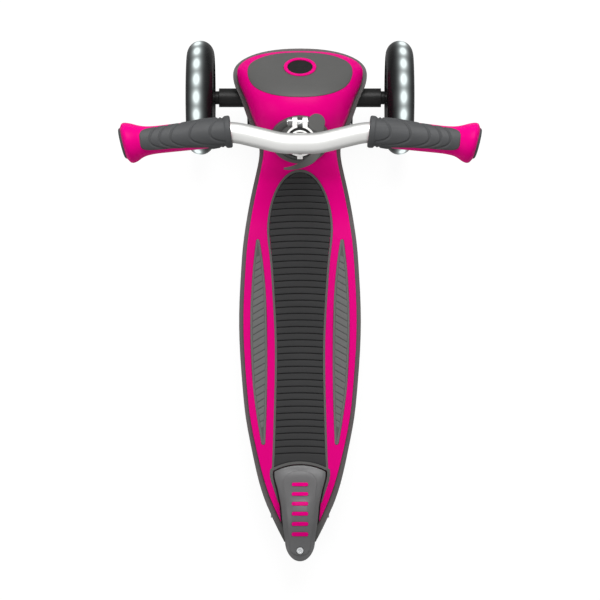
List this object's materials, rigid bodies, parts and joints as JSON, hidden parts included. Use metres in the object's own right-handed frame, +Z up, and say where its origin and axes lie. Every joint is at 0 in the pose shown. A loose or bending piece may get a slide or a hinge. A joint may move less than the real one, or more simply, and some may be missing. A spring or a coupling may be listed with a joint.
{
  "type": "kick scooter",
  "caption": "Child's kick scooter: lean-to-steer T-bar clamped at its height, lit front wheels, ribbed deck, sprung fender brake over the rear wheel and a lock button in the nose.",
  "frame": {"origin": "on the ground, in the middle of the overall box", "axes": "+X right, +Y forward, +Z up"},
  "size_m": [0.3024, 0.552, 0.6915],
  "materials": {
    "pink_plastic": "satin moulded plastic, bright pink",
    "grey_plastic": "fine-grained moulded plastic, mid grey",
    "mat_rubber": "matt black rubber",
    "pad_rubber": "matt grey rubber",
    "grip_rubber": "soft dark grey rubber",
    "black_plastic": "black moulded plastic",
    "black_paint": "black powder coat",
    "silver": "satin anodised",
    "steel": "zinc plated",
    "bronze": "sintered bushing",
    "lit_tyre": "smoky translucent polyurethane over a ring of lamps",
    "tyre": "black polyurethane",
    "light": "white lamp ring"
  },
  "bodies": {
    "deck": {"deck_base": "grey_plastic", "deck_cover": "pink_plastic", "deck_plate": "steel", "deck_mat": "mat_rubber", "mat_rim": "grey_plastic", "side_pads": "pad_rubber", "nose_panel": "grey_plastic", "button_bezel": "pink_plastic", "stem_ring": "grey_plastic", "steering_frame": "black_paint", "frame_bolts": "steel", "lean_bushes": "bronze", "centring_sleeve": "mat_rubber", "kingpins": "steel", "rear_axle": "steel", "brake_hinge_pin": "steel", "brake_spring": "steel", "deck_screws": "steel", "button_spring": "steel"},
    "stem": {"stem_socket": "black_paint", "lean_shaft": "steel", "steer_lever": "black_paint", "stem_dome": "grey_plastic", "lower_tube": "silver", "clamp_collar": "silver", "clamp_sleeve": "black_plastic", "clamp_skewer": "steel", "clamp_nut": "steel", "lever_pin": "steel"},
    "lever": {"clamp_lever": "grey_plastic"},
    "t_bar": {"upright_tube": "silver", "handlebar": "silver", "left_grip": "pink_plastic", "right_grip": "pink_plastic", "left_grip_pad": "grip_rubber", "right_grip_pad": "grip_rubber", "guide_plug": "black_plastic"},
    "left_knuckle": {"left_knuckle": "black_plastic", "left_axle": "steel", "left_magnet": "steel"},
    "right_knuckle": {"right_knuckle": "black_plastic", "right_axle": "steel", "right_magnet": "steel"},
    "left_wheel": {"left_tyre": "lit_tyre", "left_core": "black_plastic", "left_bearings": "steel", "left_light_ring": "light"},
    "right_wheel": {"right_tyre": "lit_tyre", "right_core": "black_plastic", "right_bearings": "steel", "right_light_ring": "light"},
    "tie_rod": {"tie_rod": "steel"},
    "rear_wheel": {"rear_tyre": "tyre", "rear_core": "black_plastic", "rear_bearings": "steel"},
    "brake": {"brake_fender": "grey_plastic", "brake_inlays": "pink_plastic", "brake_plate": "steel", "brake_bolt": "steel"},
    "button": {"lock_button": "black_plastic"}
  },
  "joints": [
    {"name": "stem_lean", "type": "hinge", "parent": "deck", "child": "stem", "pos_m": [0, 0.16153, 0.102], "axis": [0, 1, 0], "range_deg": [-12, 12], "stiffness_Nm_per_rad": 25},
    {"name": "left_steer", "type": "hinge", "parent": "deck", "child": "left_knuckle", "pos_m": [-0.046, 0.2155, 0.0605], "axis": [0, 0, 1], "range_deg": [-15.1, 15.1]},
    {"name": "right_steer", "type": "hinge", "parent": "deck", "child": "right_knuckle", "pos_m": [0.046, 0.2155, 0.0605], "axis": [0, 0, 1], "range_deg": [-15.1, 15.1]},
    {"name": "tie_rod_slide", "type": "slide", "parent": "deck", "child": "tie_rod", "axis": [1, 0, 0], "range_m": [-0.0088, 0.0088]},
    {"name": "left_spin", "type": "hinge", "parent": "left_knuckle", "child": "left_wheel", "pos_m": [-0.1055, 0.2155, 0.0605], "axis": [1, 0, 0], "continuous": true},
    {"name": "right_spin", "type": "hinge", "parent": "right_knuckle", "child": "right_wheel", "pos_m": [0.1055, 0.2155, 0.0605], "axis": [1, 0, 0], "continuous": true},
    {"name": "rear_spin", "type": "hinge", "parent": "deck", "child": "rear_wheel", "pos_m": [0, -0.223, 0.04], "axis": [1, 0, 0], "continuous": true},
    {"name": "bar_height", "type": "slide", "parent": "stem", "child": "t_bar", "axis": [0, -0.192, 0.9814], "range_m": [0, 0.1]},
    {"name": "lever_open", "type": "hinge", "parent": "stem", "child": "lever", "pos_m": [0.0154, 0.11756, 0.41734], "axis": [0, -0.192, 0.9814], "range_deg": [0, 150]},
    {"name": "brake_press", "type": "hinge", "parent": "deck", "child": "brake", "pos_m": [0, -0.18, 0.0545], "axis": [1, 0, 0], "range_deg": [0, 3], "stiffness_Nm_per_rad": 2, "springref_deg": -3.44},
    {"name": "lock_press", "type": "slide", "parent": "deck", "child": "button", "axis": [0, -0.6947, -0.7193], "range_m": [0, 0.004], "stiffness_N_per_m": 600, "springref_m": -0.002, "deforming": ["button_spring"]}
  ],
  "couplings": [
    {"joint": "left_steer", "follows": "stem_lean", "ratio": -1.25},
    {"joint": "right_steer", "follows": "stem_lean", "ratio": -1.25},
    {"joint": "tie_rod_slide", "follows": "stem_lean", "m_per_rad": -0.0415}
  ]
}
